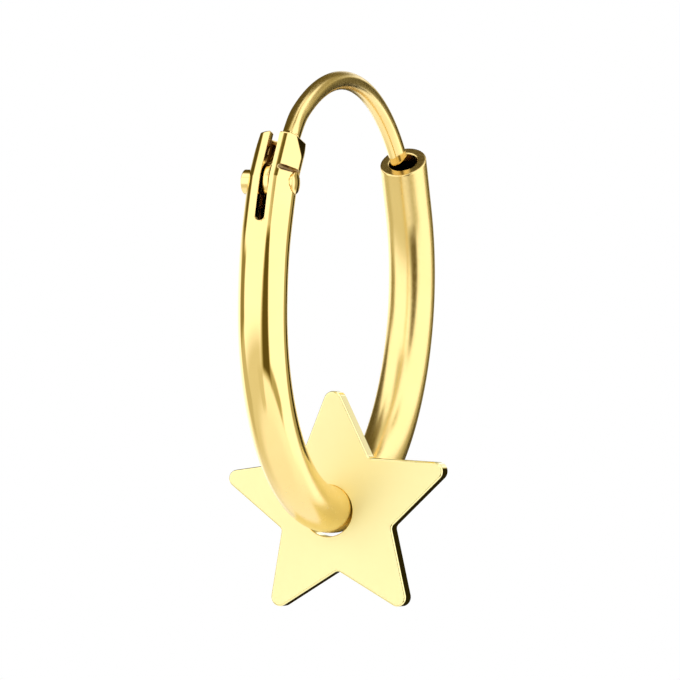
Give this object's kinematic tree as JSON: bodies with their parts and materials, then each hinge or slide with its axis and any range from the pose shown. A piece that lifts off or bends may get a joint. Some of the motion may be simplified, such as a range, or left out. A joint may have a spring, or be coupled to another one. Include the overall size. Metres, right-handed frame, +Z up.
{
  "type": "hoop earring with a star charm",
  "caption": "Round hollow hoop earring closed by a riveted swinging ear wire, with a flat rounded star charm threaded on the hoop by the hole in its middle.",
  "frame": {"origin": "middle of the ear wire's round section at its highest point, where the ear carries it", "axes": "+Z up, the hoop in the XZ plane with its hinge at -X and its open end at +X, +Y along the rivet towards its tall head"},
  "size_m": [0.013, 0.0061, 0.0146],
  "materials": {
    "hoop_gold": "polished",
    "rivet_gold": "polished",
    "wire_gold": "polished",
    "star_gold": "polished"
  },
  "bodies": {
    "ear_wire": {"ear_wire": "wire_gold"},
    "hoop": {"hoop_tube": "hoop_gold", "hinge_rivet": "rivet_gold"},
    "charm": {"star_charm": "star_gold"}
  },
  "joints": [
    {"name": "wire_hinge", "type": "hinge", "parent": "ear_wire", "child": "hoop", "pos_m": [-0.00537, 0, -0.00299], "axis": [0, 1, 0], "range_deg": [0, 90]},
    {"name": "charm_travel", "type": "hinge", "parent": "hoop", "child": "charm", "pos_m": [-0.00006, 0, -0.00578], "axis": [0, -1, 0], "range_deg": [-102, 111]}
  ]
}
